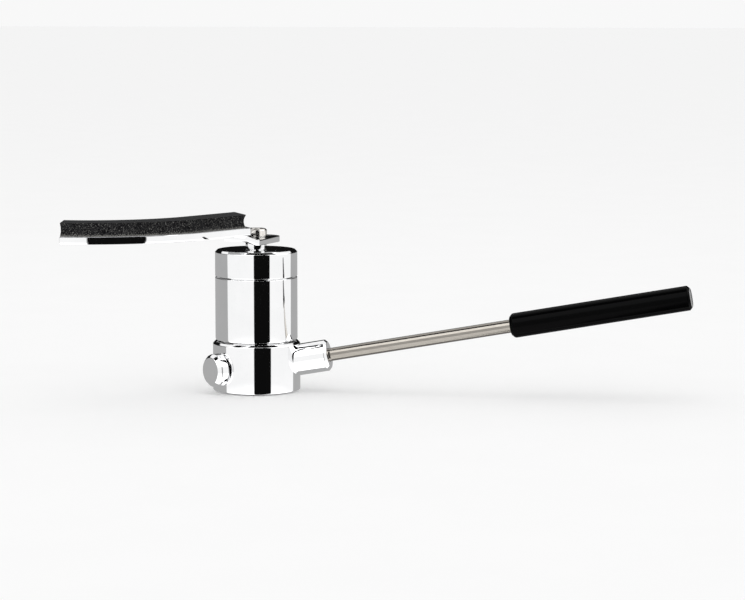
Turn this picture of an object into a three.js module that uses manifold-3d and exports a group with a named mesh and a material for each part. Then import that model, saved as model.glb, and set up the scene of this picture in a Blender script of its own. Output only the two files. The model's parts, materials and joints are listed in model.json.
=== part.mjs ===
// A spring-loaded tonearm lifter. Millimetres, +Z up.
// The origin is the centre of the foot pad's underside. +X runs along the trigger lever, seen from above.
import * as THREE from 'three';
import { mergeVertices } from 'three/addons/utils/BufferGeometryUtils.js';
import Module from 'manifold-3d';

// Driving dimensions
const BARREL_R = 9.4;
const COLLAR_R = 10.0;
const NECK_R = 7.6;
const BODY_BOTTOM = 1.9;
const NECK_TOP = 11.8;
const BARREL_TOP = 26.2;
const CAP_BOTTOM = 26.5;
const CAP_TOP = 32.5;
const EDGE = 0.5;
const FOOT_R = 8.4;
const FOOT_TOP = 0.6;
const PLATE_R = 8.6;
const PLATE_TOP = 1.8;
const COLLAR_BOTTOM = 0.3;
const COLLAR_TOP = 11.5;
const COLLAR_BORE_R = 7.9;
const COLLAR_STEP = 2.1;
const AXIS_Z = 5.5;

// Cylinder inside the body
const BORE_FLOOR = 3.0;
const CATCH_BORE_R = 4.6;
const CYLINDER_R = 5.0;
const SHELF_Z = 12.0;
const SPIGOT_R = 8.3;
const SPIGOT_BOTTOM = 25.3;
const BUSH_R = 3.8;
const BUSH_TOP = 31.2;
const CAP_HOLE_R = 2.3;
const POST_R = 2.0;
const POST_BOTTOM = 3.3;
const HEX_FLATS = 4.4;
const HEX_BOTTOM = 32.6;
const BRACKET_BOTTOM = 34.1;

// Lever
const LEVER_TILT = THREE.MathUtils.degToRad(10.2);
const BOSS_R = 3.6;
const BOSS_END = 17.3;
const ROD_R = 1.5;
const ROD_START = 9.5;
const ROD_END = 96;
const SLEEVE_R = 2.8;
const SLEEVE_START = 59.6;
const SLEEVE_END = 100.8;
const SLEEVE_BORE_END = 97;
const PIN_R = 1.0;
const PIN_ANGLE = 180;
const PIN_SWEEP = [-18, 6];
const PIN_TIP = 3.0;
const PIN_HEAD = 9.2;

// Knob
const KNOB_ANGLE = 227.8;
const KNOB_R = 3.75;
const KNOB_BACK = 10.05;
const KNOB_FRONT = 12.9;
const SPINDLE_R = 1.2;
const TIP_R = 1.0;
const TIP_START = 7.7;
const SPINDLE_START = 8.2;

// Arm: a curved strip in plan, set in a frame turned from the lever's
const ARM_TURN = THREE.MathUtils.degToRad(10);
const ARM_CENTRE = [-36, 4.7];
const ARM_OUTER = 34.3;
const ARM_INNER = 26.3;
const ARM_FROM = THREE.MathUtils.degToRad(-14);
const ARM_LEFT = -41.6;
const ARM_BEND_END = THREE.MathUtils.degToRad(50);
const ARM_STRAIGHT = 24;
const ARM_BOTTOM = 36.3;
const ARM_THICK = 1.6;
const BRACKET_THICK = 1.25;
const BRACKET_RISE = 0.85;
const BEND_TURN = THREE.MathUtils.degToRad(21);
const BEND_FOOT = -2.6;
const RAMP_RUN = 1.6;
const ARM_END = -2.8;
const FOAM_END = -4.4;
const FOAM_GAP = 0.1;
const FOAM_TOP = 41.0;
const FOAM_INSET = 0.15;
const RIVETS = [[-4.9, -5.2], [-5.4, -2.2]];
const RIVET_R = 0.6;
const SCREW_R = 1.2;
const SCREW_HEAD_R = 2.5;
const SCREW_TOP = 37.3;
const SCREW_BOTTOM = 29.6;
const SCREW_HOLE_BOTTOM = 29;
const SOCKET_R = 0.9;
const SOCKET_DEPTH = 0.8;
const WASHER_R = 2.3;
const WASHER_THICK = 0.35;
// Tab of the bracket in plan: front edge, side, then the round end about its own centre.
const TAB_LEFT = -7;
const TAB_FRONT_Y = -6;
const TAB_BACK_Y = -1.8;
const TAB_CORNERS = [[1.1, -8.1], [4.9, 0.4]];
const TAB_CENTRE = [1.2, 2.2];
const TAB_R = 4.1;
const TAB_SWEEP = [-0.44, 2.3];

const FIT = 0.1;
const SLIDE_FIT = 0.06;
const OVERSHOOT = 1;
const ROUND = 48;
const MID_ROUND = 28;
const SMALL_ROUND = 16;

const wasm = await Module();
wasm.setup();

const chrome = { color: 0xd9dadd, roughness: 0.06, metalness: 1 };
const steel = { color: 0xb7b2aa, roughness: 0.3, metalness: 1 };
const brass = { color: 0xc9b28a, roughness: 0.25, metalness: 1 };
const black = { color: 0x0c0c0d, roughness: 0.35, metalness: 0 };
const rubber = { color: 0x1b1b1c, roughness: 0.9, metalness: 0 };
const foam = { color: 0x2c2c2e, roughness: 1, metalness: 0 };
const nylon = { color: 0xe6e3da, roughness: 0.5, metalness: 0 };

const object = new THREE.Group();

// Puts one named sub-part into the scene graph.
function addPart(name, geometry, look, parent = object) {
  const mesh = new THREE.Mesh(geometry, new THREE.MeshStandardMaterial(look));
  mesh.name = name;
  parent.add(mesh);
  return mesh;
}

// Turned shape about Z from a closed list of [radius, height] points.
function turned(points, segments = ROUND) {
  const outline = points.map(([radius, height]) => new THREE.Vector2(radius, height));
  if (points[0][0] > 0) {
    outline.push(outline[0].clone());
  }
  const geometry = new THREE.LatheGeometry(outline, segments);
  geometry.rotateX(Math.PI / 2);
  return geometry;
}

// Plain upright cylinder with a small edge on both ends.
function rod(radius, bottom, top, segments = ROUND, edge = 0) {
  if (edge === 0) {
    return turned([[0, bottom], [radius, bottom], [radius, top], [0, top]], segments);
  }
  return turned([
    [0, bottom], [radius - edge, bottom], [radius, bottom + edge],
    [radius, top - edge], [radius - edge, top], [0, top],
  ], segments);
}

// Plain upright tube.
function tube(inner, outer, bottom, top, segments = ROUND) {
  return turned([[inner, bottom], [outer, bottom], [outer, top], [inner, top]], segments);
}

// Prism over a plan shape, from one height to another.
function prism(shape, bottom, top, curveSegments = 24) {
  const depth = top - bottom;
  const geometry = new THREE.ExtrudeGeometry(shape, { depth, bevelEnabled: false, curveSegments });
  geometry.translate(0, 0, bottom);
  return geometry;
}

function shapeFrom(points) {
  return new THREE.Shape(points.map(([x, y]) => new THREE.Vector2(x, y)));
}

// Sector of a ring in plan, between two angles in radians.
function sector(inner, outer, from, to) {
  const shape = new THREE.Shape();
  shape.absarc(0, 0, outer, from, to, false);
  shape.absarc(0, 0, inner, to, from, true);
  return shape;
}

function solidOf(geometry) {
  const bare = geometry.clone();
  bare.deleteAttribute('normal');
  bare.deleteAttribute('uv');
  const merged = mergeVertices(bare, 1e-4);
  const numbers = Array.from(merged.index.array);
  const kept = [];
  for (let i = 0; i < numbers.length; i += 3) {
    const [a, b, c] = numbers.slice(i, i + 3);
    if (a !== b && b !== c && c !== a) {
      kept.push(a, b, c);
    }
  }
  return new wasm.Manifold(new wasm.Mesh({
    numProp: 3,
    vertProperties: new Float32Array(merged.attributes.position.array),
    triVerts: new Uint32Array(kept),
  }));
}

function geometryOf(solid) {
  const mesh = solid.getMesh();
  const geometry = new THREE.BufferGeometry();
  geometry.setAttribute('position', new THREE.BufferAttribute(new Float32Array(mesh.vertProperties), 3));
  geometry.setIndex(new THREE.BufferAttribute(new Uint32Array(mesh.triVerts), 1));
  geometry.computeVertexNormals();
  return geometry;
}

// First geometry with the others cut away.
function cut(geometry, ...tools) {
  const solid = tools.reduce((left, tool) => left.subtract(solidOf(tool)), solidOf(geometry));
  return geometryOf(solid);
}

// Moves a geometry so that its +Z axis points outwards, level, at an angle in degrees.
function outwards(geometry, degrees) {
  geometry.rotateY(Math.PI / 2);
  geometry.rotateZ(THREE.MathUtils.degToRad(degrees));
  geometry.translate(0, 0, AXIS_Z);
  return geometry;
}

// Moves a geometry so that its +Z axis runs along the tilted lever.
function alongLever(geometry) {
  geometry.rotateY(Math.PI / 2 - LEVER_TILT);
  geometry.translate(0, 0, AXIS_Z);
  return geometry;
}

// --- Base: foot, plate, screws, body, cap, bush and guide ring ---

const SCREW_CIRCLE = 6.3;
const BASE_SCREW_R = 0.8;
const BASE_SCREW_HEAD_R = 1.4;
const BASE_SCREW_HEAD = [0.7, 1.3];
const BASE_SCREW_TIP = 4.6;

addPart('foot_pad', rod(FOOT_R, 0, FOOT_TOP), rubber);

function baseScrew(angle, room) {
  const radius = BASE_SCREW_R + room;
  const headRadius = BASE_SCREW_HEAD_R + room;
  const [headBottom, headTop] = BASE_SCREW_HEAD;
  const geometry = turned([
    [0, headBottom - room], [headRadius, headBottom - room], [headRadius, headTop + room],
    [radius, headTop + room], [radius, BASE_SCREW_TIP + room], [0, BASE_SCREW_TIP + room],
  ], SMALL_ROUND);
  geometry.translate(SCREW_CIRCLE, 0, 0);
  geometry.rotateZ(THREE.MathUtils.degToRad(angle));
  return geometry;
}

const screwAngles = [0, 120, 240];
const screwHoles = screwAngles.map((angle) => baseScrew(angle, FIT));
addPart('base_plate', cut(rod(PLATE_R, FOOT_TOP, PLATE_TOP), ...screwHoles), steel);
screwAngles.forEach((angle, i) => addPart(`base_screw_${i + 1}`, baseScrew(angle, 0), steel));

function makeBody() {
  const spigotRoom = SPIGOT_R + FIT;
  const blank = turned([
    [0, BODY_BOTTOM], [NECK_R, BODY_BOTTOM], [NECK_R, NECK_TOP],
    [BARREL_R - EDGE, NECK_TOP], [BARREL_R, NECK_TOP + EDGE],
    [BARREL_R, BARREL_TOP], [spigotRoom, BARREL_TOP], [spigotRoom, SPIGOT_BOTTOM - FIT],
    [CYLINDER_R, SPIGOT_BOTTOM - FIT], [CYLINDER_R, SHELF_Z], [CATCH_BORE_R, SHELF_Z],
    [CATCH_BORE_R, BORE_FLOOR], [0, BORE_FLOOR],
  ]);
  // The window lets the drive pin swing with the collar.
  const spare = 12;
  const windowRoom = 0.4;
  const from = THREE.MathUtils.degToRad(PIN_ANGLE + PIN_SWEEP[0] - spare);
  const to = THREE.MathUtils.degToRad(PIN_ANGLE + PIN_SWEEP[1] + spare);
  const room = PIN_R + windowRoom;
  const plan = sector(CATCH_BORE_R - OVERSHOOT, NECK_R + OVERSHOOT, from, to);
  const window = prism(plan, AXIS_Z - room, AXIS_Z + room, 10);
  return cut(blank, window, ...screwHoles);
}
addPart('barrel', makeBody(), chrome);

addPart('cap', turned([
  [BUSH_R + FIT, SPIGOT_BOTTOM], [SPIGOT_R, SPIGOT_BOTTOM], [SPIGOT_R, CAP_BOTTOM],
  [BARREL_R, CAP_BOTTOM], [BARREL_R, CAP_TOP - EDGE], [BARREL_R - EDGE, CAP_TOP],
  [CAP_HOLE_R, CAP_TOP], [CAP_HOLE_R, BUSH_TOP + FIT], [BUSH_R + FIT, BUSH_TOP + FIT],
]), chrome);
addPart('post_bush', tube(POST_R + SLIDE_FIT, BUSH_R, SPIGOT_BOTTOM, BUSH_TOP, MID_ROUND), brass);
const GUIDE_TOP = SHELF_Z + 1.2;
addPart('guide_ring', tube(POST_R + SLIDE_FIT, CYLINDER_R - FIT, SHELF_Z, GUIDE_TOP, MID_ROUND), brass);

// --- Lever: collar with its boss, rod, sleeve and drive pin ---

function makeCollar() {
  const lowEdge = 0.3;
  const recess = PLATE_R + 0.3;
  const ring = turned([
    [recess, COLLAR_BOTTOM], [COLLAR_R - lowEdge, COLLAR_BOTTOM], [COLLAR_R, COLLAR_BOTTOM + lowEdge],
    [COLLAR_R, COLLAR_TOP - EDGE], [COLLAR_R - EDGE, COLLAR_TOP], [COLLAR_BORE_R, COLLAR_TOP],
    [COLLAR_BORE_R, COLLAR_STEP], [recess, COLLAR_STEP],
  ]);
  const rootInWall = 1.2;
  const start = COLLAR_R - rootInWall;
  const edge = 0.6;
  const boss = alongLever(turned([
    [0, start], [BOSS_R, start], [BOSS_R, BOSS_END - edge], [BOSS_R - edge, BOSS_END], [0, BOSS_END],
  ], MID_ROUND));
  const rodHole = alongLever(rod(ROD_R + FIT, ROD_START - FIT, BOSS_END + OVERSHOOT, SMALL_ROUND));
  const pinHole = outwards(rod(PIN_R + FIT, 0, PIN_HEAD + FIT, SMALL_ROUND), PIN_ANGLE);
  const spindleHole = outwards(rod(SPINDLE_R + FIT, 0, COLLAR_R + OVERSHOOT, SMALL_ROUND), KNOB_ANGLE);
  const joined = solidOf(ring).add(solidOf(boss));
  const holes = [rodHole, pinHole, spindleHole];
  return geometryOf(holes.reduce((left, hole) => left.subtract(solidOf(hole)), joined));
}
addPart('collar', makeCollar(), chrome);
const ROD_EDGE = 0.2;
addPart('lever_rod', alongLever(rod(ROD_R, ROD_START, ROD_END, SMALL_ROUND, ROD_EDGE)), steel);

const sleeveEdge = 0.75;
addPart('lever_sleeve', alongLever(turned([
  [ROD_R + FIT, SLEEVE_START], [SLEEVE_R - sleeveEdge, SLEEVE_START], [SLEEVE_R, SLEEVE_START + sleeveEdge],
  [SLEEVE_R, SLEEVE_END - sleeveEdge], [SLEEVE_R - sleeveEdge, SLEEVE_END], [0, SLEEVE_END],
  [0, SLEEVE_BORE_END], [ROD_R + FIT, SLEEVE_BORE_END],
], MID_ROUND)), black);
addPart('drive_pin', outwards(rod(PIN_R, PIN_TIP, PIN_HEAD, SMALL_ROUND), PIN_ANGLE), steel);

// --- Knob on the collar, with its spindle and friction tip ---

const backEdge = 0.3;
const frontEdge = 0.7;
addPart('knob', outwards(turned([
  [0, KNOB_BACK], [KNOB_R - backEdge, KNOB_BACK], [KNOB_R, KNOB_BACK + backEdge],
  [KNOB_R, KNOB_FRONT - frontEdge], [KNOB_R - frontEdge, KNOB_FRONT], [0, KNOB_FRONT],
], MID_ROUND), KNOB_ANGLE), chrome);
addPart('knob_spindle', outwards(rod(SPINDLE_R, SPINDLE_START, KNOB_BACK, SMALL_ROUND), KNOB_ANGLE), steel);
addPart('friction_tip', outwards(rod(TIP_R, TIP_START, SPINDLE_START, SMALL_ROUND), KNOB_ANGLE), nylon);

// --- Post: shaft, piston, clip, catch foot and spring ---

function makePost() {
  const joint = 0.2;
  const shaft = rod(POST_R, POST_BOTTOM, HEX_BOTTOM + joint, MID_ROUND);
  const hexRadius = HEX_FLATS / 2 / Math.cos(Math.PI / 6);
  const head = rod(hexRadius, HEX_BOTTOM, BRACKET_BOTTOM, 6);
  const hole = rod(SCREW_R + FIT, SCREW_HOLE_BOTTOM, BRACKET_BOTTOM + OVERSHOOT, SMALL_ROUND);
  return geometryOf(solidOf(shaft).add(solidOf(head)).subtract(solidOf(hole)));
}
addPart('lift_post', makePost(), chrome);

const PISTON_BOTTOM = 17.2;
const PISTON_TOP = 18.2;
const CLIP_R = 3.2;
const CLIP_BOTTOM = PISTON_TOP + 0.05;
const CLIP_THICK = 0.4;
addPart('piston', tube(POST_R + FIT, CYLINDER_R - FIT, PISTON_BOTTOM, PISTON_TOP, MID_ROUND), brass);
addPart('piston_clip', tube(POST_R + FIT, CLIP_R, CLIP_BOTTOM, CLIP_BOTTOM + CLIP_THICK, SMALL_ROUND), steel);

const CATCH_RING_R = 2.8;
const LUG_TOP = POST_BOTTOM + 0.9;
const LUG_ROOT_R = 2.5;
const LUG_TIP_R = CATCH_BORE_R - 0.3;
const LUG_ANGLE = PIN_ANGLE - 33;
const LUG_SPREAD = 8;
function makeCatchFoot() {
  const from = THREE.MathUtils.degToRad(LUG_ANGLE - LUG_SPREAD);
  const to = THREE.MathUtils.degToRad(LUG_ANGLE + LUG_SPREAD);
  const ring = tube(POST_R + FIT, CATCH_RING_R, POST_BOTTOM, LUG_TOP, MID_ROUND);
  const lug = prism(sector(LUG_ROOT_R, LUG_TIP_R, from, to), POST_BOTTOM, LUG_TOP, 4);
  return geometryOf(solidOf(ring).add(solidOf(lug)));
}
addPart('catch_foot', makeCatchFoot(), steel);

class Helix extends THREE.Curve {
  constructor(radius, bottom, top, turns) {
    super();
    Object.assign(this, { radius, bottom, top, turns });
  }

  getPoint(t, target = new THREE.Vector3()) {
    const angle = 2 * Math.PI * this.turns * t;
    const height = this.bottom + (this.top - this.bottom) * t;
    return target.set(this.radius * Math.cos(angle), this.radius * Math.sin(angle), height);
  }
}

function makeSpring() {
  const wire = 0.25;
  const coil = 3.4;
  const turns = 4;
  const clearance = wire + 0.1;
  const section = new THREE.Shape().absarc(0, 0, wire, 0, 2 * Math.PI, false);
  const path = new Helix(coil, GUIDE_TOP + clearance, PISTON_BOTTOM - clearance, turns);
  return new THREE.ExtrudeGeometry(section, {
    steps: 14 * turns, curveSegments: 3, bevelEnabled: false, extrudePath: path,
  });
}
addPart('lift_spring', makeSpring(), steel);

// --- Arm: bracket, plate, rivets, foam, washer and screw, in a frame turned about the post ---

const arm = new THREE.Group();
arm.rotation.z = ARM_TURN;
object.add(arm);

// Wider than anything on the arm, for blanks and cutting blocks.
const WIDE = 60;

// The curved strip in plan, made narrower by an inset and cut off straight at both ends.
function strip(inset, end, bottom, top) {
  const [x, y] = ARM_CENTRE;
  const from = ARM_FROM - Math.PI / 2;
  const to = ARM_BEND_END - Math.PI / 2;
  const outer = ARM_OUTER - inset;
  const inner = ARM_INNER + inset;
  const ahead = [Math.cos(ARM_BEND_END) * ARM_STRAIGHT, Math.sin(ARM_BEND_END) * ARM_STRAIGHT];
  const corner = (radius) => [x + radius * Math.cos(to) + ahead[0], y + radius * Math.sin(to) + ahead[1]];
  const shape = new THREE.Shape();
  shape.absarc(x, y, outer, from, to, false);
  shape.lineTo(...corner(outer));
  shape.lineTo(...corner(inner));
  shape.absarc(x, y, inner, to, from, true);
  const block = 20;
  const beyond = new THREE.BoxGeometry(block, WIDE, block);
  beyond.translate(end + block / 2, 0, top);
  beyond.rotateZ(BEND_TURN);
  const before = new THREE.BoxGeometry(block, WIDE, block);
  before.translate(ARM_LEFT + inset - block / 2, 0, top);
  return cut(prism(shape, bottom, top), beyond, before);
}

const rivetHoles = RIVETS.map(([x, y]) => {
  const top = ARM_BOTTOM + ARM_THICK + OVERSHOOT;
  const hole = rod(RIVET_R + FIT, BRACKET_BOTTOM - OVERSHOOT, top, SMALL_ROUND);
  hole.translate(x, y, 0);
  return hole;
});

// The bracket is level at the post, then steps up under the arm plate.
function makeBracket() {
  const low = BRACKET_BOTTOM;
  const high = BRACKET_BOTTOM + BRACKET_RISE;
  const foot = BEND_FOOT;
  const head = BEND_FOOT - RAMP_RUN;
  const reach = 20;
  const under = [[-reach, high], [head, high], [foot, low], [reach, low]];
  const over = under.map(([x, y]) => [x, y + BRACKET_THICK]).reverse();
  const side = shapeFrom([...under, ...over]);
  const bent = new THREE.ExtrudeGeometry(side, { depth: WIDE, bevelEnabled: false });
  bent.translate(0, 0, -WIDE / 2);
  bent.rotateX(Math.PI / 2);
  bent.rotateZ(BEND_TURN);
  const plan = new THREE.Shape();
  plan.moveTo(TAB_LEFT, TAB_FRONT_Y);
  TAB_CORNERS.forEach(([x, y]) => plan.lineTo(x, y));
  plan.absarc(...TAB_CENTRE, TAB_R, ...TAB_SWEEP, false);
  plan.lineTo(TAB_LEFT, TAB_BACK_Y);
  const above = high + BRACKET_THICK + OVERSHOOT;
  const hole = rod(SCREW_R + FIT, low - OVERSHOOT, above, SMALL_ROUND);
  const cutOut = solidOf(bent).intersect(solidOf(prism(plan, low - OVERSHOOT, above, SMALL_ROUND)));
  return geometryOf([hole, ...rivetHoles].reduce((left, tool) => left.subtract(solidOf(tool)), cutOut));
}
addPart('bracket', makeBracket(), chrome, arm);

const ARM_TOP = ARM_BOTTOM + ARM_THICK;
addPart('arm_plate', cut(strip(0, ARM_END, ARM_BOTTOM, ARM_TOP), ...rivetHoles), chrome, arm);
RIVETS.forEach(([x, y], i) => {
  const pin = rod(RIVET_R, BRACKET_BOTTOM + BRACKET_RISE, ARM_TOP, SMALL_ROUND);
  pin.translate(x, y, 0);
  addPart(`rivet_${i + 1}`, pin, steel, arm);
});
addPart('foam_pad', strip(FOAM_INSET, FOAM_END, ARM_TOP + FOAM_GAP, FOAM_TOP), foam, arm);

const TAB_TOP = BRACKET_BOTTOM + BRACKET_THICK;
const WASHER_TOP = TAB_TOP + WASHER_THICK;
addPart('washer', tube(SCREW_R + FIT, WASHER_R, TAB_TOP, WASHER_TOP, MID_ROUND), steel, arm);
const HEAD_EDGE = 0.4;
const screwBlank = turned([
  [0, SCREW_BOTTOM], [SCREW_R, SCREW_BOTTOM], [SCREW_R, WASHER_TOP], [SCREW_HEAD_R, WASHER_TOP],
  [SCREW_HEAD_R, SCREW_TOP - HEAD_EDGE], [SCREW_HEAD_R - HEAD_EDGE, SCREW_TOP], [0, SCREW_TOP],
], MID_ROUND);
const socket = rod(SOCKET_R, SCREW_TOP - SOCKET_DEPTH, SCREW_TOP + OVERSHOOT, 6);
addPart('arm_screw', cut(screwBlank, socket), brass, arm);

export default object;
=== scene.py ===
import json
import math

import bmesh
import bpy
from mathutils import Matrix, Vector, noise


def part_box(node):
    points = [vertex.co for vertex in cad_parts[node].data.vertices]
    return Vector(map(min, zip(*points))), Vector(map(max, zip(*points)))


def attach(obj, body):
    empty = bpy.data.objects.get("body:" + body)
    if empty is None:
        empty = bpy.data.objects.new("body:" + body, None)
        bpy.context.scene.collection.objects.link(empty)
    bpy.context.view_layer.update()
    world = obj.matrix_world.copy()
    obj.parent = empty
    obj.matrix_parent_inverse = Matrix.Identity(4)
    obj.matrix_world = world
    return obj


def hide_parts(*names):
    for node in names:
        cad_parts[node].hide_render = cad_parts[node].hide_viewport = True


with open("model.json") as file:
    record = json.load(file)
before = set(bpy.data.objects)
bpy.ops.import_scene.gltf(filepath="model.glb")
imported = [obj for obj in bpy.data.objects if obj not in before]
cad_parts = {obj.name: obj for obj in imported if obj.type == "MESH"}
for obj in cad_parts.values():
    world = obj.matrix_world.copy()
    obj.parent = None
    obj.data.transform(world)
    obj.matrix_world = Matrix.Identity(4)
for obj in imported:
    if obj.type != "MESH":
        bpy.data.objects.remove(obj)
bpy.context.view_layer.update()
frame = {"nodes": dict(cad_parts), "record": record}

MM = 0.001
DEG = math.pi / 180
FINE = 160
MEDIUM = 96
ARM_TURN = 10 * DEG


# ---------------------------------------------------------------- places, from the frame

def joint(name):
    return next(j for j in frame["record"]["behaviour"]["joints"] if j["name"] == name)


def span(node):
    """Lowest and highest z of a CAD node, and its half width along X."""
    low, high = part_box(node)
    return low[2], high[2], (high[0] - low[0]) / 2


AXIS_Z = joint("lever_turn")["pos_m"][2]
KNOB_DIRECTION = Vector(joint("knob_turn")["axis"])
ROD_TILT = -10.2 * DEG


# ---------------------------------------------------------------- mesh helpers

def new_object(name, bm, material, body, replaced=(), sharp=35 * DEG):
    bmesh.ops.remove_doubles(bm, verts=bm.verts, dist=1e-7)
    bmesh.ops.recalc_face_normals(bm, faces=bm.faces)
    mesh = bpy.data.meshes.new(name)
    bm.to_mesh(mesh)
    bm.free()
    mesh.materials.append(material)
    mesh.shade_smooth()
    mesh.set_sharp_from_angle(angle=sharp)
    piece = bpy.data.objects.new(name, mesh)
    bpy.context.scene.collection.objects.link(piece)
    if replaced:
        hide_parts(*replaced)
    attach(piece, body)
    return piece


def rounded(points, radius, steps=5):
    """The open outline with every inner corner turned into a small arc. A point may carry its own radius."""
    result = [Vector(points[0][:2])]
    for before, here, after in zip(points, points[1:], points[2:]):
        corner = Vector(here[:2])
        size = here[2] if len(here) > 2 else radius
        back = Vector(before[:2]) - corner
        ahead = Vector(after[:2]) - corner
        reach = min(size, back.length * 0.45, ahead.length * 0.45)
        if reach < 1e-6:
            result.append(corner)
            continue
        start = corner + back.normalized() * reach
        end = corner + ahead.normalized() * reach
        for i in range(steps + 1):
            t = i / steps
            result.append(start * (1 - t) ** 2 + corner * 2 * t * (1 - t) + end * t ** 2)
    result.append(Vector(points[-1][:2]))
    return result


def lathe(outline, place=Matrix.Identity(4), segments=FINE):
    """Turns a list of (radius, height) about Z. Points on the axis become single vertices."""
    bm = bmesh.new()
    rings = []
    for radius, height in outline:
        if radius < 1e-7:
            rings.append([bm.verts.new((0, 0, height))])
            continue
        turn = [2 * math.pi * i / segments for i in range(segments)]
        rings.append([bm.verts.new((radius * math.cos(a), radius * math.sin(a), height)) for a in turn])
    for low, high in zip(rings, rings[1:]):
        for i in range(segments):
            j = (i + 1) % segments
            quad = [low[i % len(low)], low[j % len(low)], high[j % len(high)], high[i % len(high)]]
            corners = list(dict.fromkeys(quad))
            if len(corners) > 2:
                bm.faces.new(corners)
    bm.transform(place)
    return bm


def outwards(direction, height=AXIS_Z):
    """Matrix that lays local +Z along a direction from the point on the post's axis at that height."""
    return Matrix.Translation((0, 0, height)) @ direction.to_track_quat("Z", "Y").to_matrix().to_4x4()


def plate(outline, bottom, top, edge, steps=3):
    """Flat plate over a closed plan outline, with its long edges rounded."""
    bm = bmesh.new()
    loops = []
    heights = []
    for i in range(steps + 1):
        angle = i / steps * math.pi / 2
        heights.append((edge * (1 - math.sin(angle)), bottom + edge * (1 - math.cos(angle))))
    heights += [(inset, top - (height - bottom)) for inset, height in reversed(heights)]
    for inset, height in heights:
        loops.append([bm.verts.new((p.x, p.y, height)) for p in shrunk(outline, inset)])
    for low, high in zip(loops, loops[1:]):
        for i in range(len(low)):
            j = (i + 1) % len(low)
            bm.faces.new((low[i], low[j], high[j], high[i]))
    bm.faces.new(list(reversed(loops[0])))
    bm.faces.new(loops[-1])
    return bm


def shrunk(outline, inset):
    """A closed counter-clockwise outline moved inwards."""
    if inset < 1e-9:
        return list(outline)
    count = len(outline)
    result = []
    for i in range(count):
        back = (outline[i] - outline[i - 1]).normalized()
        ahead = (outline[(i + 1) % count] - outline[i]).normalized()
        normal = Vector((-back.y - ahead.y, back.x + ahead.x))
        normal.normalize()
        side = max(0.4, normal.dot(Vector((-ahead.y, ahead.x))))
        result.append(outline[i] + normal * inset / side)
    return result


def soft_corners(outline, radius, steps=6, angle=20 * DEG):
    """Rounds only the real corners of a closed outline."""
    count = len(outline)
    result = []
    for i in range(count):
        back = outline[i - 1] - outline[i]
        ahead = outline[(i + 1) % count] - outline[i]
        turn = math.pi - back.angle(ahead)
        if turn < angle:
            result.append(outline[i])
            continue
        reach = min(radius, back.length * 0.45, ahead.length * 0.45)
        start = outline[i] + back.normalized() * reach
        end = outline[i] + ahead.normalized() * reach
        for k in range(steps + 1):
            t = k / steps
            result.append(start * (1 - t) ** 2 + outline[i] * 2 * t * (1 - t) + end * t ** 2)
    return result


# ---------------------------------------------------------------- materials

def material(name, color, metallic, roughness):
    made = bpy.data.materials.new(name)
    made.use_nodes = True
    shader = made.node_tree.nodes["Principled BSDF"]
    shader.inputs["Base Color"].default_value = (*color, 1)
    shader.inputs["Metallic"].default_value = metallic
    shader.inputs["Roughness"].default_value = roughness
    return made, made.node_tree, shader


def add(tree, kind, **values):
    node = tree.nodes.new(kind)
    for key, value in values.items():
        setattr(node, key, value)
    return node


def math_node(tree, operation, a, b=None, c=None):
    node = add(tree, "ShaderNodeMath", operation=operation)
    for i, value in enumerate((a, b, c)):
        if value is None:
            continue
        if isinstance(value, (int, float)):
            node.inputs[i].default_value = value
        else:
            tree.links.new(value, node.inputs[i])
    return node.outputs["Value"]


def coordinates(tree):
    return add(tree, "ShaderNodeTexCoord").outputs["Object"]


def speckle(tree, vector, scale, detail=4.0, rough=0.6):
    texture = add(tree, "ShaderNodeTexNoise")
    texture.inputs["Scale"].default_value = scale
    texture.inputs["Detail"].default_value = detail
    texture.inputs["Roughness"].default_value = rough
    tree.links.new(vector, texture.inputs["Vector"])
    return texture.outputs["Fac"]


def spread(tree, value, low, high, from_low=0.3, from_high=0.7):
    node = add(tree, "ShaderNodeMapRange")
    node.inputs["From Min"].default_value = from_low
    node.inputs["From Max"].default_value = from_high
    node.inputs["To Min"].default_value = low
    node.inputs["To Max"].default_value = high
    tree.links.new(value, node.inputs["Value"])
    return node.outputs["Result"]


def tint(tree, value, stops):
    node = add(tree, "ShaderNodeValToRGB")
    ramp = node.color_ramp
    while len(ramp.elements) < len(stops):
        ramp.elements.new(0.5)
    for element, (place, color) in zip(ramp.elements, stops):
        element.position = place
        element.color = (*color, 1)
    tree.links.new(value, node.inputs["Fac"])
    return node.outputs["Color"]


def bump(tree, shader, value, strength, distance):
    node = add(tree, "ShaderNodeBump")
    node.inputs["Strength"].default_value = strength
    node.inputs["Distance"].default_value = distance
    tree.links.new(value, node.inputs["Height"])
    tree.links.new(node.outputs["Normal"], shader.inputs["Normal"])


def make_chrome():
    made, tree, shader = material("chrome", (0.93, 0.935, 0.94), 1, 0.03)
    fine = coordinates(tree)
    tree.links.new(spread(tree, speckle(tree, fine, 900), 0.02, 0.055), shader.inputs["Roughness"])
    tree.links.new(
        tint(tree, speckle(tree, fine, 160), [(0.3, (0.9, 0.905, 0.91)), (0.7, (0.95, 0.95, 0.955))]),
        shader.inputs["Base Color"])
    return made


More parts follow.
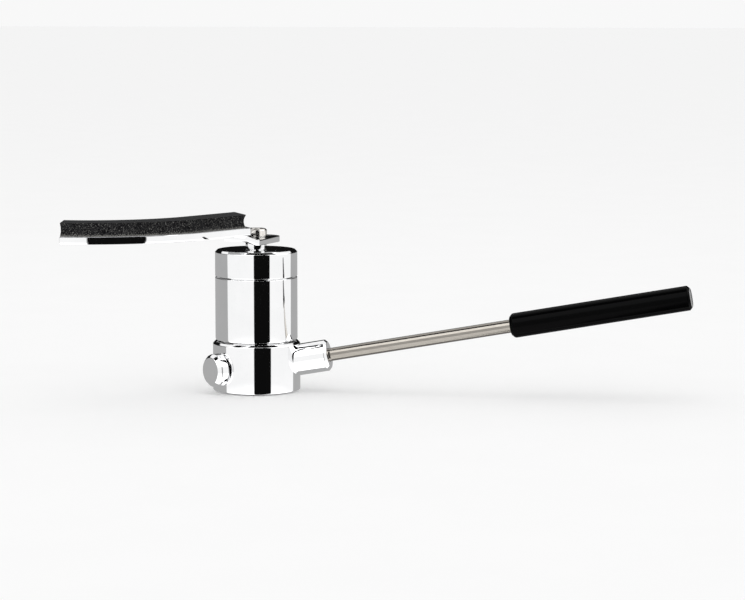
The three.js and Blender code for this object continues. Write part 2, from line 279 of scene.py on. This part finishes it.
def make_rod_steel():
    """Ground rod: fine lines along its length."""
    made, tree, shader = material("rod_steel", (0.66, 0.63, 0.58), 1, 0.2)
    turned = add(tree, "ShaderNodeVectorRotate", rotation_type="Y_AXIS")
    turned.inputs["Angle"].default_value = ROD_TILT
    tree.links.new(coordinates(tree), turned.inputs["Vector"])
    mapping = add(tree, "ShaderNodeMapping")
    mapping.inputs["Scale"].default_value = (25, 2600, 2600)
    tree.links.new(turned.outputs["Vector"], mapping.inputs["Vector"])
    grain = speckle(tree, mapping.outputs["Vector"], 1.0, detail=5)
    tree.links.new(spread(tree, grain, 0.12, 0.18), shader.inputs["Roughness"])
    tree.links.new(
        tint(tree, grain, [(0.3, (0.27, 0.25, 0.225)), (0.7, (0.33, 0.31, 0.28))]),
        shader.inputs["Base Color"])
    bump(tree, shader, grain, 0.06, 0.00001)
    return made


def make_metal(name, dark, light, rough_low, rough_high, scale=1200):
    made, tree, shader = material(name, light, 1, rough_low)
    fine = coordinates(tree)
    grain = speckle(tree, fine, scale)
    tree.links.new(spread(tree, grain, rough_low, rough_high), shader.inputs["Roughness"])
    tree.links.new(tint(tree, grain, [(0.3, dark), (0.7, light)]), shader.inputs["Base Color"])
    return made


def make_plastic(name, dark, light, rough_low, rough_high, scale, depth=0.00002, specular=0.5):
    made, tree, shader = material(name, light, 0, rough_low)
    shader.inputs["Specular IOR Level"].default_value = specular
    fine = coordinates(tree)
    grain = speckle(tree, fine, scale, detail=6)
    tree.links.new(spread(tree, grain, rough_low, rough_high), shader.inputs["Roughness"])
    tree.links.new(tint(tree, grain, [(0.3, dark), (0.7, light)]), shader.inputs["Base Color"])
    bump(tree, shader, grain, 0.25, depth)
    return made


def make_foam():
    """Fine open cells: near black pores, dark walls and sparse lighter strands, whose light grey is a
    painted highlight where strands catch the light.
    """
    made, tree, shader = material("open_cell_foam", (0.02, 0.02, 0.021), 0, 0.95)
    fine = coordinates(tree)
    pores = add(tree, "ShaderNodeTexVoronoi")
    pores.inputs["Scale"].default_value = 3000
    tree.links.new(fine, pores.inputs["Vector"])
    walls = add(tree, "ShaderNodeTexVoronoi", feature="DISTANCE_TO_EDGE")
    walls.inputs["Scale"].default_value = 2100
    tree.links.new(fine, walls.inputs["Vector"])
    patches = speckle(tree, fine, 700, detail=5, rough=0.75)
    mixed = math_node(tree, "MULTIPLY_ADD", pores.outputs["Distance"], 0.35, patches)
    body = tint(tree, mixed, [
        (0.4, (0.0012, 0.0012, 0.0014)), (0.6, (0.005, 0.005, 0.006)), (0.85, (0.02, 0.02, 0.021)),
    ])
    # The painted strand highlights grow denser towards the bottom edge.
    parts = add(tree, "ShaderNodeSeparateXYZ")
    tree.links.new(fine, parts.inputs["Vector"])
    low = span("foam_pad")[0]
    edge = spread(tree, parts.outputs["Z"], 0.3, 0.0, low, low + 0.6 * MM)
    strand_glint_field = math_node(tree, "ADD", speckle(tree, fine, 5200, detail=1, rough=0.5), edge)
    strand_glints = spread(tree, strand_glint_field, 0.0, 1.0, 0.575, 0.7)
    # The strands' light grey is painted: it stands in for light caught on the cell strands.
    mix = add(tree, "ShaderNodeMix", data_type="RGBA")
    tree.links.new(strand_glints, mix.inputs[0])
    tree.links.new(body, mix.inputs[6])
    mix.inputs[7].default_value = (0.16, 0.158, 0.15, 1)
    tree.links.new(mix.outputs[2], shader.inputs["Base Color"])
    shader.inputs["Specular IOR Level"].default_value = 0.03
    bump(tree, shader, walls.outputs["Distance"], 0.8, 0.0001)
    return made


CHROME = make_chrome()
ROD_STEEL = make_rod_steel()
STEEL = make_metal("turned_steel", (0.5, 0.49, 0.47), (0.66, 0.65, 0.63), 0.18, 0.32)
BRASS = make_metal("brass", (0.68, 0.6, 0.5), (0.8, 0.73, 0.63), 0.14, 0.26)
NICKEL = make_metal("nickel", (0.82, 0.79, 0.75), (0.9, 0.87, 0.83), 0.12, 0.22)
SLEEVE = make_plastic(
    "black_sleeve", (0.0008, 0.0008, 0.0009), (0.0014, 0.0014, 0.0015), 0.14, 0.2, 1500, specular=0.03
)
# The sleeve end's light grey is a painted highlight, laid on the rounding at the far end of the black
# sleeve.
SLEEVE_END_HIGHLIGHT = make_plastic("sleeve_end_painted_highlight", (0.3, 0.3, 0.3), (0.38, 0.38, 0.38), 0.1, 0.16, 1500)
RUBBER = make_plastic("rubber_foot", (0.01, 0.01, 0.01), (0.02, 0.02, 0.02), 0.7, 0.9, 900)
NYLON = make_plastic("nylon", (0.78, 0.77, 0.73), (0.86, 0.85, 0.81), 0.35, 0.5, 700)
FILM = make_plastic("adhesive_film", (0.28, 0.28, 0.29), (0.7, 0.7, 0.72), 0.4, 0.6, 2400)
FOAM = make_foam()
FOAM_SKIN = make_plastic(
    "foam_skin", (0.022, 0.022, 0.023), (0.036, 0.036, 0.037), 0.9, 0.98, 1600, 0.00004, specular=0.05)


# ---------------------------------------------------------------- base

def make_foot():
    low, high, radius = span("foot_pad")
    outline = rounded([(0, low), (radius, low), (radius, high), (0, high)], 0.12 * MM)
    new_object("rubber_foot", lathe(outline), RUBBER, "base", ["foot_pad"])


def make_barrel():
    low, high, radius = span("barrel")
    neck = span("base_plate")[2] - 1.0 * MM
    barrel_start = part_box("collar")[0][2] + 11.5 * MM
    spigot = radius - 1.0 * MM
    bore = 5.0 * MM
    floor = low + 1.1 * MM
    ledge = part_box("cap")[0][2] - 0.1 * MM
    outline = rounded([
        (0, low), (neck, low), (neck, barrel_start, 0), (radius, barrel_start, 0.45 * MM),
        (radius, high, 0.12 * MM), (spigot, high), (spigot, ledge), (bore, ledge),
        (bore, floor), (0, floor),
    ], 0.1 * MM)
    new_object("barrel_shell", lathe(outline), CHROME, "base", ["barrel"])


def make_cap():
    low, high, radius = span("cap")
    bush = span("post_bush")[2]
    spigot = radius - 1.1 * MM
    shoulder = span("barrel")[1] + 0.3 * MM
    gap = 0.02 * MM
    hole = bush + gap
    mouth = 2.25 * MM
    ceiling = span("post_bush")[1] + gap
    chamfer = 0.5 * MM
    middle = (low + high) / 2
    outline = rounded([
        (hole, middle), (hole, low), (spigot, low), (spigot, shoulder),
        (radius, shoulder, 0.12 * MM), (radius, high - chamfer, 0.08 * MM),
        (radius - chamfer, high, 0.08 * MM), (mouth, high, 0.12 * MM), (mouth, ceiling),
        (hole, ceiling), (hole, middle),
    ], 0.05 * MM)
    new_object("cap_shell", lathe(outline), CHROME, "base", ["cap"])


def make_bush():
    low, high, radius = span("post_bush")
    inner = 2.06 * MM
    middle = (low + high) / 2
    outline = rounded([
        (inner, middle), (inner, low), (radius, low), (radius, high, 0.2 * MM),
        (inner + 0.5 * MM, high, 0.1 * MM), (inner, high - 0.4 * MM), (inner, middle),
    ], 0.1 * MM)
    new_object("bush_ring", lathe(outline), BRASS, "base", ["post_bush"])


# ---------------------------------------------------------------- lever

def lever_direction():
    """Along the tilted rod, from the middle of the ends of its CAD box."""
    low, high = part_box("lever_sleeve")
    tip = Vector(((low[0] + high[0]) / 2, 0, (low[2] + high[2]) / 2 - AXIS_Z))
    return tip.normalized()


LEVER = lever_direction()
ALONG = outwards(LEVER)


def reach(node):
    """Nearest and farthest distance of a CAD node's vertices along the lever."""
    places = [(v.co - Vector((0, 0, AXIS_Z))).dot(LEVER) for v in frame["nodes"][node].data.vertices]
    return min(places), max(places)


def make_collar():
    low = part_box("collar")[0][2]
    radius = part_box("collar")[1][1]
    high = low + 11.2 * MM
    bore = span("base_plate")[2] - 0.7 * MM
    step = low + 1.8 * MM
    wide = span("base_plate")[2] + 0.3 * MM
    middle = (step + high) / 2
    chamfer = 0.5 * MM
    outline = rounded([
        (bore, middle), (bore, step), (wide, step), (wide, low), (radius, low, 0.25 * MM),
        (radius, high - chamfer, 0.1 * MM), (radius - chamfer, high, 0.1 * MM), (bore, high), (bore, middle),
    ], 0.1 * MM)
    new_object("collar_ring", lathe(outline), CHROME, "lever", ["collar"])


def make_boss():
    """The boss starts inside the collar's wall and ends in a socket for the rod."""
    radius = 3.6 * MM
    start = 9.1 * MM
    end = reach("collar")[1]
    socket = 1.52 * MM
    depth = end - 6 * MM
    chamfer = 0.6 * MM
    outline = rounded([
        (0, start), (radius, start), (radius, end - chamfer, 0.1 * MM), (radius - chamfer, end, 0.1 * MM),
        (socket, end, 0.12 * MM), (socket, depth), (0, depth),
    ], 0.05 * MM)
    new_object("boss", lathe(outline, ALONG), CHROME, "lever")


def make_rod():
    start, end = reach("lever_rod")
    radius = 1.5 * MM
    outline = rounded([(0, start), (radius, start), (radius, end), (0, end)], 0.2 * MM)
    new_object("rod_bar", lathe(outline, ALONG, MEDIUM), ROD_STEEL, "lever", ["lever_rod"])


def make_sleeve():
    start, end = reach("lever_sleeve")
    radius = 2.8 * MM
    bore = 1.56 * MM
    chamfer = 0.75 * MM
    depth = end - 4 * MM
    middle = (start + end) / 2
    outline = rounded([
        (bore, middle), (bore, start), (radius - chamfer, start, 0.2 * MM),
        (radius, start + chamfer, 0.3 * MM), (radius, end - chamfer, 0.12 * MM),
        (radius - chamfer, end, 0.32 * MM), (0, end),
    ], 0.08 * MM)
    outline += [Vector((0, depth)), Vector((bore, depth)), Vector((bore, middle))]
    sleeve = new_object(
        "sleeve_grip", lathe(outline, ALONG), SLEEVE, "lever", ["lever_sleeve"]
    )
    # The rounding between the far chamfer and the end face gets a light grey colour: a painted highlight for
    # the bright crescent that this rounding reflects.
    chamfer_slope, face_slope = 0.74, 0.995
    sleeve.data.materials.append(SLEEVE_END_HIGHLIGHT)
    for face in sleeve.data.polygons:
        place = (face.center - Vector((0, 0, AXIS_Z))).dot(LEVER)
        slope = face.normal.dot(LEVER)
        if place > end - chamfer and chamfer_slope < slope < face_slope:
            face.material_index = 1


# ---------------------------------------------------------------- knob

def make_knob():
    places = [
        (v.co - Vector((0, 0, AXIS_Z))).dot(KNOB_DIRECTION)
        for v in frame["nodes"]["knob"].data.vertices
    ]
    back, front = min(places), max(places)
    radius = (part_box("knob")[1][2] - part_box("knob")[0][2]) / 2
    chamfer = 0.7 * MM
    back_edge = 0.35 * MM
    rim = front - chamfer
    line = 0.08 * MM
    outline = rounded([
        (0, back), (radius - back_edge, back), (radius, back + back_edge),
        (radius, rim - 0.2 * MM, 0.03 * MM), (radius - line, rim - 0.1 * MM, 0.03 * MM),
        (radius - line, rim, 0.06 * MM), (radius - chamfer, front, 0.12 * MM), (0, front),
    ], 0.08 * MM)
    new_object("knob_head", lathe(outline, outwards(KNOB_DIRECTION)), CHROME, "knob", ["knob"])


# ---------------------------------------------------------------- post

def make_post():
    low, high, _ = span("lift_post")
    flats = 4.4 * MM
    corner = flats / 2 / math.cos(30 * DEG)
    shaft = 2.0 * MM
    hex_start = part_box("cap")[1][2] + 0.1 * MM
    shaft_top = hex_start + 0.1 * MM
    outline = rounded([(0, low), (shaft, low), (shaft, shaft_top), (0, shaft_top)], 0.15 * MM)
    bm = lathe(outline, segments=MEDIUM)
    corners = [
        Vector((corner * math.cos(a), corner * math.sin(a)))
        for a in (30 * DEG + k * 60 * DEG for k in range(6))
    ]
    head = plate(soft_corners(corners, 0.12 * MM, 4), hex_start, high, 0.1 * MM)
    mesh = bpy.data.meshes.new("hex_head")
    head.to_mesh(mesh)
    head.free()
    bm.from_mesh(mesh)
    bpy.data.meshes.remove(mesh)
    new_object("post_bar", bm, CHROME, "post", ["lift_post"], sharp=25 * DEG)


# ---------------------------------------------------------------- arm

def arc(centre, radius, start, end, count):
    return [
        Vector((centre.x + radius * math.sin(a), centre.y - radius * math.cos(a)))
        for a in (start + (end - start) * i / count for i in range(count + 1))
    ]


ARM_CENTRE = Vector((-36, 4.7)) * MM
ARM_OUTER = 34.3 * MM
ARM_INNER = 26.3 * MM
ARM_LEFT = -41.6 * MM
ARM_BEND_END = 50 * DEG
ARM_END = -2.8 * MM
FOAM_END = -4.4 * MM
BEND_TURN = 21 * DEG
BEND_NORMAL = Vector((math.cos(BEND_TURN), math.sin(BEND_TURN)))
IN_ARM = Matrix.Rotation(ARM_TURN, 4, "Z")


def strip(inset, end, count=96):
    """The strip from above, counter-clockwise: an arc, then a straight run, cut straight at both ends."""
    heading = Vector((math.cos(ARM_BEND_END), math.sin(ARM_BEND_END)))

    def edge(radius):
        left = math.asin((ARM_LEFT + inset - ARM_CENTRE.x) / radius)
        points = arc(ARM_CENTRE, radius, left, ARM_BEND_END, count)
        last = points[-1]
        run = (end - last.dot(BEND_NORMAL)) / heading.dot(BEND_NORMAL)
        return points + [last + heading * run]

    return edge(ARM_OUTER - inset) + list(reversed(edge(ARM_INNER + inset)))


def make_arm_plate():
    low, high, _ = span("arm_plate")
    outline = soft_corners(strip(0, ARM_END), 0.9 * MM)
    bm = plate(outline, low, high, 0.12 * MM)
    bm.transform(IN_ARM)
    new_object("arm_strip", bm, CHROME, "arm", ["arm_plate"], sharp=25 * DEG)


def make_bracket():
    """The CAD bracket's own outline, with eased edges."""
    source = frame["nodes"]["bracket"].data
    bm = bmesh.new()
    bm.from_mesh(source)
    bmesh.ops.remove_doubles(bm, verts=bm.verts, dist=1e-6)
    bmesh.ops.dissolve_limit(bm, angle_limit=1 * DEG, verts=bm.verts, edges=bm.edges)
    corners = [e for e in bm.edges if e.is_manifold and e.calc_face_angle(0) > 25 * DEG]
    bmesh.ops.bevel(
        bm, geom=corners, offset=0.16 * MM, offset_type="OFFSET", segments=3, profile=0.5,
        affect="EDGES", clamp_overlap=True)
    new_object("bracket_plate", bm, CHROME, "arm", ["bracket"], sharp=25 * DEG)


def make_film():
    low = span("arm_plate")[1]
    outline = soft_corners(strip(0.2 * MM, FOAM_END), 0.8 * MM)
    bm = plate(outline, low, span("foam_pad")[0] + 0.02 * MM, 0.02 * MM)
    bm.transform(IN_ARM)
    new_object("adhesive_film", bm, FILM, "arm")


def make_foam_pad():
    """Cut foam: porous sides that pull in a little, cut ends that hollow, a smoother top."""
    low, high, _ = span("foam_pad")
    outline = evenly(soft_corners(strip(0.15 * MM, FOAM_END, 260), 0.4 * MM, 8), 0.16 * MM)
    left_end = min(p.x for p in outline)
    rows = 20
    waist, hollow, hollow_run = 0.16 * MM, 0.45 * MM, 1.2 * MM
    left_share = 0.12
    coarse_size, coarse_depth = 0.28 * MM, 0.05 * MM
    pore_size, pore_depth = 0.13 * MM, 0.035 * MM
    least_depth = 0.01 * MM
    bm = bmesh.new()
    loops = []
    for row in range(rows + 1):
        t = row / rows
        bulge = math.sin(math.pi * t)
        loop = []
        for here, inner in zip(outline, shrunk(outline, 1 * MM)):
            left = max(0, 1 - (here.x - left_end) / hollow_run)
            right = max(0, 1 - (FOAM_END - here.dot(BEND_NORMAL)) / hollow_run)
            pull = waist * bulge + hollow * bulge * max(left_share * left, right)
            inward = (inner - here).normalized()
            point = Vector((here.x + inward.x * pull, here.y + inward.y * pull, low + (high - low) * t))
            rough = (
                noise.noise(point / coarse_size) * coarse_depth
                + noise.noise(point / pore_size) * pore_depth
            )
            point += Vector((inward.x, inward.y, 0)) * (abs(rough) + least_depth)
            loop.append(bm.verts.new(point))
        loops.append(loop)
    for below, above in zip(loops, loops[1:]):
        for i in range(len(below)):
            j = (i + 1) % len(below)
            bm.faces.new((below[i], below[j], above[j], above[i]))
    bm.faces.new(list(reversed(loops[0])))
    top = bm.faces.new(loops[-1])
    bmesh.ops.inset_region(bm, faces=[top], thickness=0.12 * MM, depth=0.05 * MM)
    bmesh.ops.triangulate(bm, faces=[f for f in bm.faces if len(f.verts) > 4])
    bm.transform(IN_ARM)
    pad = new_object("foam_strip", bm, FOAM, "arm", ["foam_pad"], sharp=50 * DEG)
    facing_up = 0.6
    pad.data.materials.append(FOAM_SKIN)
    for face in pad.data.polygons:
        if face.normal.z > facing_up:
            face.material_index = 1


def evenly(outline, step):
    """The closed outline with points at even distances."""
    result = []
    carry = 0.0
    count = len(outline)
    for i in range(count):
        start, end = outline[i], outline[(i + 1) % count]
        length = (end - start).length
        place = carry
        while place < length:
            result.append(start + (end - start) * (place / length))
            place += step
        carry = place - length
    return result


def make_screw():
    low, high, radius = span("arm_screw")
    head = span("washer")[1]
    socket = 0.9 * MM
    socket_depth = 0.8 * MM
    shank = 1.15 * MM
    bm = lathe(rounded([
        (0, low), (shank, low), (shank, head), (radius, head), (radius, high - 0.35 * MM, 0.1 * MM),
        (radius - 0.4 * MM, high, 0.12 * MM), (socket + 0.25 * MM, high, 0.05 * MM),
        (socket, high - 0.2 * MM), (socket, high - socket_depth), (0, high - socket_depth - 0.1 * MM),
    ], 0.08 * MM), segments=MEDIUM)
    new_object("arm_bolt", bm, NICKEL, "arm", ["arm_screw"])


def make_washer():
    low, high, radius = span("washer")
    hole = 1.3 * MM
    middle = (low + high) / 2
    outline = rounded([
        (hole, middle), (hole, low), (radius, low), (radius, high), (hole, high), (hole, middle),
    ], 0.08 * MM)
    new_object("washer_ring", lathe(outline, segments=MEDIUM), STEEL, "arm", ["washer"])


def finish_hidden_nodes():
    """Inner CAD nodes keep their shape and get their own finish."""
    looks = {
        "brass": BRASS, "steel": STEEL, "nylon": NYLON, "rubber": RUBBER, "chrome": CHROME,
        "sleeve_black": SLEEVE, "foam": FOAM,
    }
    for row in frame["record"]["subparts"]:
        node = frame["nodes"][row["node"]]
        if not node.data.materials:
            node.data.materials.append(None)
        for i in range(len(node.data.materials)):
            node.data.materials[i] = looks[row["material_slot"]]


finish_hidden_nodes()
for build in (
    make_foot, make_barrel, make_cap, make_bush, make_collar, make_boss, make_rod, make_sleeve,
    make_knob, make_post, make_arm_plate, make_bracket, make_film, make_foam_pad, make_screw, make_washer,
):
    build()


# ---------------------------------------------------------------- studio

STUDIO_TURN = 10 * DEG


def make_floor():
    bm = bmesh.new()
    bmesh.ops.create_grid(bm, x_segments=4, y_segments=4, size=6)
    mesh = bpy.data.meshes.new("floor")
    bm.to_mesh(mesh)
    bm.free()
    made, tree, shader = material("pale_floor", (0.93, 0.93, 0.93), 0, 0.9)
    grain = speckle(tree, coordinates(tree), 40)
    tree.links.new(tint(tree, grain, [(0.3, (0.925, 0.925, 0.925)), (0.7, (0.935, 0.935, 0.935))]),
                   shader.inputs["Base Color"])
    shader.inputs["Specular IOR Level"].default_value = 0.0
    shader.inputs["Emission Color"].default_value = (1, 1, 1, 1)
    shader.inputs["Emission Strength"].default_value = 0.03
    mesh.materials.append(made)
    floor = bpy.data.objects.new("floor", mesh)
    bpy.context.scene.collection.objects.link(floor)
    floor.visible_glossy = False


def band(tree, value, low, high, soft):
    """1 between low and high, 0 outside, with soft edges."""
    rise = add(tree, "ShaderNodeMapRange")
    fall = add(tree, "ShaderNodeMapRange")
    for node, place, ends in ((rise, low, (0, 1)), (fall, high, (1, 0))):
        node.inputs["From Min"].default_value = place - soft
        node.inputs["From Max"].default_value = place + soft
        node.inputs["To Min"].default_value = ends[0]
        node.inputs["To Max"].default_value = ends[1]
        tree.links.new(value, node.inputs["Value"])
    return math_node(tree, "MULTIPLY", rise.outputs["Result"], fall.outputs["Result"])


# The painted studio's zones, in degrees: lowest angle, highest angle, softness of the edge.
TENT_SIDES = (-85.5, 115.5, 0.6)
BACK_LOW = (0.0, 30.0, 1.0)
BACK_HIGH = (31.0, 100.0, 1.0)
HIGH_LAMP = (27.0, 200.0, 5.0)
LOW_LIGHT = (-200.0, -16.0, 4.0)
CARD_SIDES = (-4.5, 40.5, 0.6)
CARD_HEIGHT = (-80, 64, 0.6)
SLOT_ACROSS = (72.0, 99.0, 1.0)
SLOT_HEIGHT = (50.0, 200.0, 2.0)


def make_world():
    """Even white light. Gloss sees a tent with lamps, a black card, a dark back and a slot in the roof."""
    world = bpy.data.worlds.new("studio")
    bpy.context.scene.world = world
    world.use_nodes = True
    tree = world.node_tree
    tree.nodes.clear()
    source = add(tree, "ShaderNodeTexCoord")
    mapping = add(tree, "ShaderNodeMapping")
    mapping.inputs["Rotation"].default_value = (0, 0, -STUDIO_TURN)
    tree.links.new(source.outputs["Generated"], mapping.inputs["Vector"])
    parts = add(tree, "ShaderNodeSeparateXYZ")
    tree.links.new(mapping.outputs["Vector"], parts.inputs["Vector"])
    x, y, z = (parts.outputs[i] for i in range(3))
    degrees = 180 / math.pi
    azimuth = math_node(
        tree, "MULTIPLY", math_node(tree, "ARCTAN2", x, math_node(tree, "MULTIPLY", y, -1)), degrees
    )
    height = math_node(tree, "MULTIPLY", math_node(tree, "ARCSINE", z), degrees)
    grey, white, dark = 0.42, 1.0, 0.004
    lamp_gain, floor_gain, back_dark = 1.6, 0.7, dark * 1.5
    tent = band(tree, azimuth, *TENT_SIDES)
    outside = math_node(tree, "SUBTRACT", 1, tent)
    level = math_node(tree, "MULTIPLY_ADD", tent, white - grey, grey)
    # Behind the object: dark low down, white above.
    back = math_node(tree, "MULTIPLY", band(tree, height, *BACK_LOW), outside)
    level = math_node(tree, "MULTIPLY_ADD", back, back_dark - grey, level)
    above = math_node(tree, "MULTIPLY", band(tree, height, *BACK_HIGH), outside)
    level = math_node(tree, "MULTIPLY_ADD", above, white - grey, level)
    # The lamps are far brighter than the tent: one high in front, and their light on the floor.
    high_lamp = math_node(tree, "MULTIPLY", band(tree, height, *HIGH_LAMP), tent)
    level = math_node(tree, "MULTIPLY_ADD", high_lamp, lamp_gain, level)
    low_light = math_node(tree, "MULTIPLY", band(tree, height, *LOW_LIGHT), tent)
    level = math_node(tree, "MULTIPLY_ADD", low_light, floor_gain, level)
    # The black card in front, and the slot that runs across the roof.
    card = math_node(
        tree, "MULTIPLY", band(tree, azimuth, *CARD_SIDES), band(tree, height, *CARD_HEIGHT)
    )
    across = math_node(
        tree, "MULTIPLY", math_node(tree, "ARCTAN2", z, math_node(tree, "MULTIPLY", y, -1)), degrees
    )
    slot = math_node(
        tree, "MULTIPLY", band(tree, across, *SLOT_ACROSS), band(tree, height, *SLOT_HEIGHT)
    )
    hidden = math_node(tree, "MAXIMUM", card, slot)
    level = math_node(tree, "MULTIPLY", level, math_node(tree, "SUBTRACT", 1, hidden))
    level = math_node(tree, "ADD", level, math_node(tree, "MULTIPLY", hidden, dark))
    path = add(tree, "ShaderNodeLightPath")
    even = add(tree, "ShaderNodeBackground")
    even.inputs["Color"].default_value = (1, 1, 1, 1)
    even.inputs["Strength"].default_value = 0.94
    tented = add(tree, "ShaderNodeBackground")
    combine = add(tree, "ShaderNodeCombineColor")
    for name in ("Red", "Green", "Blue"):
        tree.links.new(level, combine.inputs[name])
    tree.links.new(combine.outputs["Color"], tented.inputs["Color"])
    choose = add(tree, "ShaderNodeMixShader")
    tree.links.new(path.outputs["Is Glossy Ray"], choose.inputs["Fac"])
    tree.links.new(even.outputs["Background"], choose.inputs[1])
    tree.links.new(tented.outputs["Background"], choose.inputs[2])
    output = add(tree, "ShaderNodeOutputWorld")
    tree.links.new(choose.outputs["Shader"], output.inputs["Surface"])


def make_key_light():
    """A broad soft light from above, for the faint shadow on the floor."""
    light = bpy.data.lights.new("overhead", "AREA")
    light.energy = 0.45
    light.size = 0.5
    lamp = bpy.data.objects.new("overhead", light)
    lamp.location = (0.05, -0.1, 0.8)
    lamp.visible_glossy = False
    bpy.context.scene.collection.objects.link(lamp)


def make_camera():
    """The view of the front: nearly level, with the lever running to the right."""
    target = Vector((26.6, 0, 20.8)) * MM
    place = Vector((26.6, -609, 91.3)) * MM
    turn = Matrix.Rotation(STUDIO_TURN, 3, "Z")
    target, place = turn @ target, turn @ place
    lens = bpy.data.cameras.new("camera")
    lens.sensor_width = 36
    lens.lens = 129.3
    camera = bpy.data.objects.new("camera", lens)
    camera.location = place
    camera.rotation_euler = (target - place).to_track_quat("-Z", "Y").to_euler()
    bpy.context.scene.collection.objects.link(camera)
    bpy.context.scene.camera = camera


make_floor()
make_world()
make_key_light()
make_camera()
bpy.context.scene.view_settings.view_transform = "Standard"
